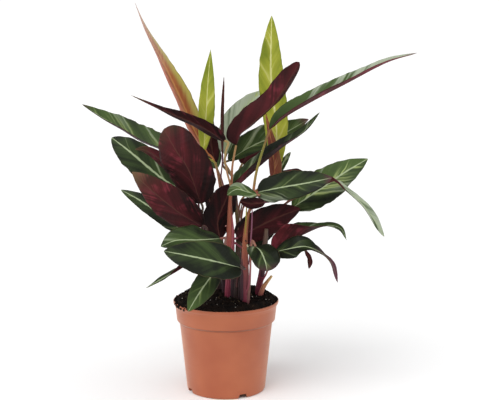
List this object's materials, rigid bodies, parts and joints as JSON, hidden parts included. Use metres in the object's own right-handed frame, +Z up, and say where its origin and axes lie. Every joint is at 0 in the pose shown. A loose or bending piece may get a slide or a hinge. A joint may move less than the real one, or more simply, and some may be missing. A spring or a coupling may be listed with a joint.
{
  "type": "potted prayer plant",
  "caption": "Prayer plant with burgundy-backed striped leaves on pink stalks, growing in soil in a thin terracotta-coloured nursery pot.",
  "frame": {"origin": "middle of the pot's foot, on the ground", "axes": "+Z up along the pot's axis, -Y towards the front of the plant, +X to its right"},
  "size_m": [0.3898, 0.2615, 0.4382],
  "materials": {
    "leaf_green": "satin",
    "leaf_burgundy": "satin",
    "leaf_young_yellow": "satin",
    "leaf_young_red": "satin",
    "stem_pink": "satin",
    "stem_dark": "satin",
    "pot_plastic": "satin",
    "potting_soil": "matte"
  },
  "bodies": {
    "root": {"pot": "pot_plastic", "soil": "potting_soil", "stems_front": "stem_pink", "stems_right": "stem_pink", "stems_right_low": "stem_pink", "stems_left": "stem_dark", "stems_middle": "stem_dark", "stems_back_left": "stem_pink", "stems_back_right": "stem_dark", "stems_back": "stem_pink", "leaf_tall_red_left": "leaf_young_red", "leaf_upright_yellow_left": "leaf_young_yellow", "leaf_rolled_spike": "leaf_burgundy", "leaf_young_red_left": "leaf_burgundy", "leaf_narrow_burgundy_left": "leaf_burgundy", "leaf_big_burgundy_left": "leaf_burgundy", "leaf_upper_green_left": "leaf_green", "leaf_mid_green_left": "leaf_green", "leaf_small_burgundy_left": "leaf_burgundy", "leaf_lower_burgundy_left": "leaf_burgundy", "leaf_low_green_left": "leaf_green", "leaf_bright_green_front": "leaf_green", "leaf_big_green_front": "leaf_green", "leaf_narrow_low_left": "leaf_burgundy", "leaf_hanging_over_rim": "leaf_green", "leaf_burgundy_middle": "leaf_burgundy", "leaf_dark_sliver_middle": "leaf_burgundy", "leaf_grey_green_top": "leaf_green", "leaf_tall_yellow_right": "leaf_young_yellow", "leaf_young_red_right": "leaf_young_red", "leaf_burgundy_top": "leaf_burgundy", "leaf_long_green_right": "leaf_green", "leaf_broad_dark_right": "leaf_green", "leaf_long_folded_right": "leaf_green", "leaf_sliver_behind_right": "leaf_green", "leaf_large_green_right": "leaf_green", "leaf_drooping_green_right": "leaf_green", "leaf_striped_green_right": "leaf_green", "leaf_burgundy_right": "leaf_burgundy", "leaf_twisted_burgundy_right": "leaf_burgundy", "leaf_drooping_low_right": "leaf_green", "leaf_small_hanging_right": "leaf_burgundy", "leaf_small_green_front": "leaf_green", "leaf_dark_low_middle": "leaf_green", "leaf_tiny_green_middle": "leaf_green", "leaf_dark_under_middle": "leaf_burgundy", "leaf_back_upper_left": "leaf_green", "leaf_back_low_left": "leaf_green", "leaf_back_upper_right": "leaf_green", "leaf_back_low_right": "leaf_green", "leaf_back_tall_left": "leaf_burgundy", "leaf_back_tall_right": "leaf_green", "leaf_back_middle": "leaf_green"}
  },
  "joints": []
}
